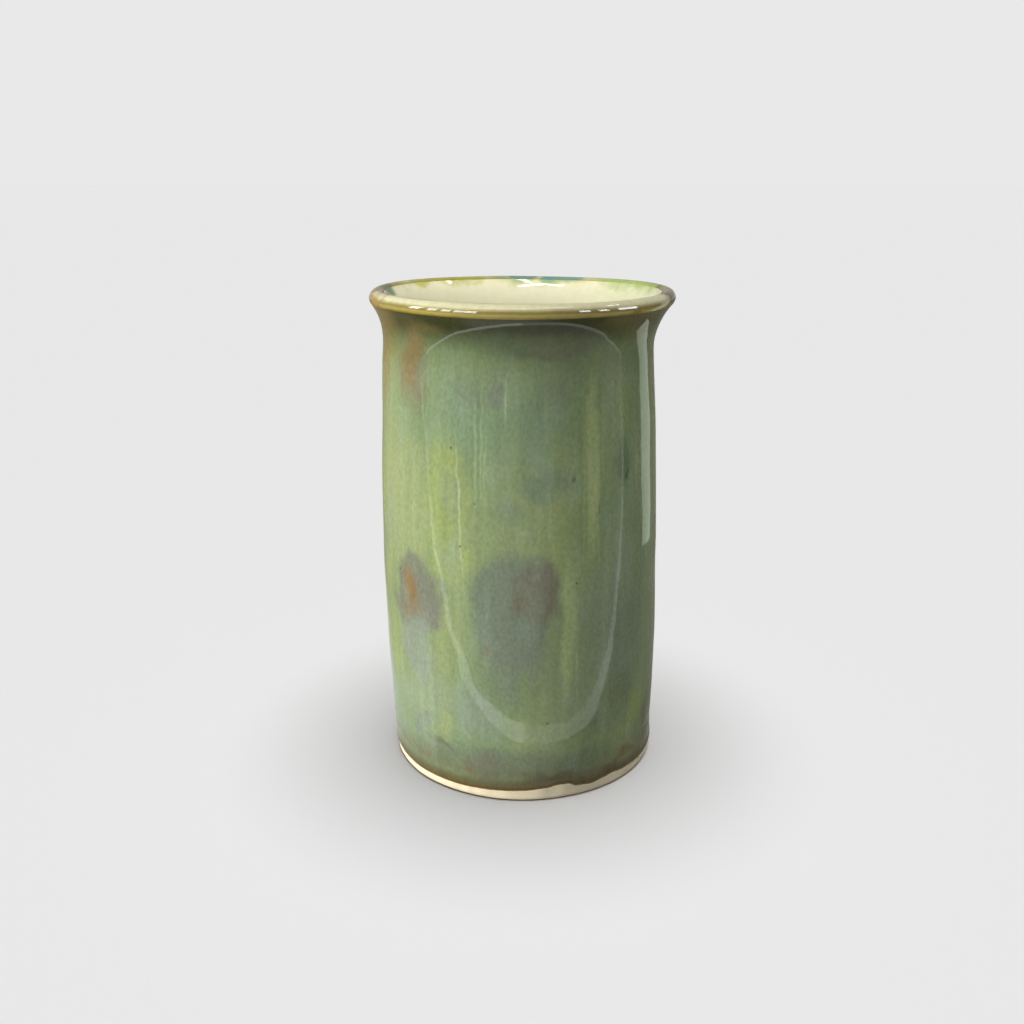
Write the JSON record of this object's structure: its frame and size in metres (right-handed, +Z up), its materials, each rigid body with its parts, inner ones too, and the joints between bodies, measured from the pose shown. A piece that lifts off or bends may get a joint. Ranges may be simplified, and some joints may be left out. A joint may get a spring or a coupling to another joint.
{
  "type": "brush holder pot",
  "caption": "Upright hand-thrown stoneware pot with a flared, rolled lip, a green glazed wall, a cream liner and a bare flat foot; holds brushes upright.",
  "frame": {"origin": "centre of the foot, on the surface the pot stands on", "axes": "+Z up along the axis the pot was thrown on; the pot is round, so +X and +Y are any two level directions, with -Y towards the side that is best known"},
  "size_m": [0.0886, 0.0886, 0.145],
  "materials": {
    "stoneware": "bare buff stoneware, matt",
    "green_glaze": "runny ash-green glaze, glossy",
    "amber_glaze": "amber overlap of the two glazes, glossy",
    "cream_glaze": "cream liner glaze, glossy"
  },
  "bodies": {
    "root": {"clay_body": "stoneware", "outer_glaze": "green_glaze", "lip_glaze": "amber_glaze", "liner_glaze": "cream_glaze"}
  },
  "joints": []
}
